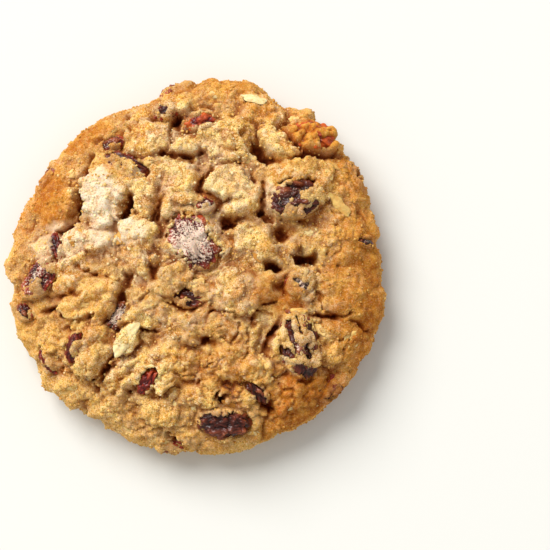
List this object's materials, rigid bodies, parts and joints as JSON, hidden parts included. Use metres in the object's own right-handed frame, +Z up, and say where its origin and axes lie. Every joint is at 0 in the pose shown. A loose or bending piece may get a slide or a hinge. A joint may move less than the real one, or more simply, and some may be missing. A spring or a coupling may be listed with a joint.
{
  "type": "oatmeal raisin cookie",
  "caption": "Thick round oatmeal raisin cookie with a craggy browned top, oat flakes and raisins set in the dough, and a flat underside.",
  "frame": {"origin": "middle of the cookie's box, at the height of its flat underside", "axes": "+Z up out of the craggy top face, +Y towards the side that leans back in the stack, +X to the right seen from above"},
  "size_m": [0.088, 0.0878, 0.0212],
  "materials": {
    "dough": "baked crumb, matte, tan with browned ridges",
    "raisin": "wrinkled dark purple-brown skin with a dull sheen"
  },
  "bodies": {
    "root": {"dough": "dough", "raisin_01": "raisin", "raisin_02": "raisin", "raisin_03": "raisin", "raisin_04": "raisin", "raisin_05": "raisin", "raisin_06": "raisin", "raisin_07": "raisin", "raisin_08": "raisin", "raisin_09": "raisin", "raisin_10": "raisin", "raisin_11": "raisin", "raisin_12": "raisin", "raisin_13": "raisin", "raisin_14": "raisin", "raisin_15": "raisin", "raisin_16": "raisin", "raisin_17": "raisin", "raisin_18": "raisin", "raisin_19": "raisin", "raisin_20": "raisin", "raisin_21": "raisin", "raisin_22": "raisin", "raisin_23": "raisin", "raisin_24": "raisin", "raisin_25": "raisin", "raisin_26": "raisin"}
  },
  "joints": []
}
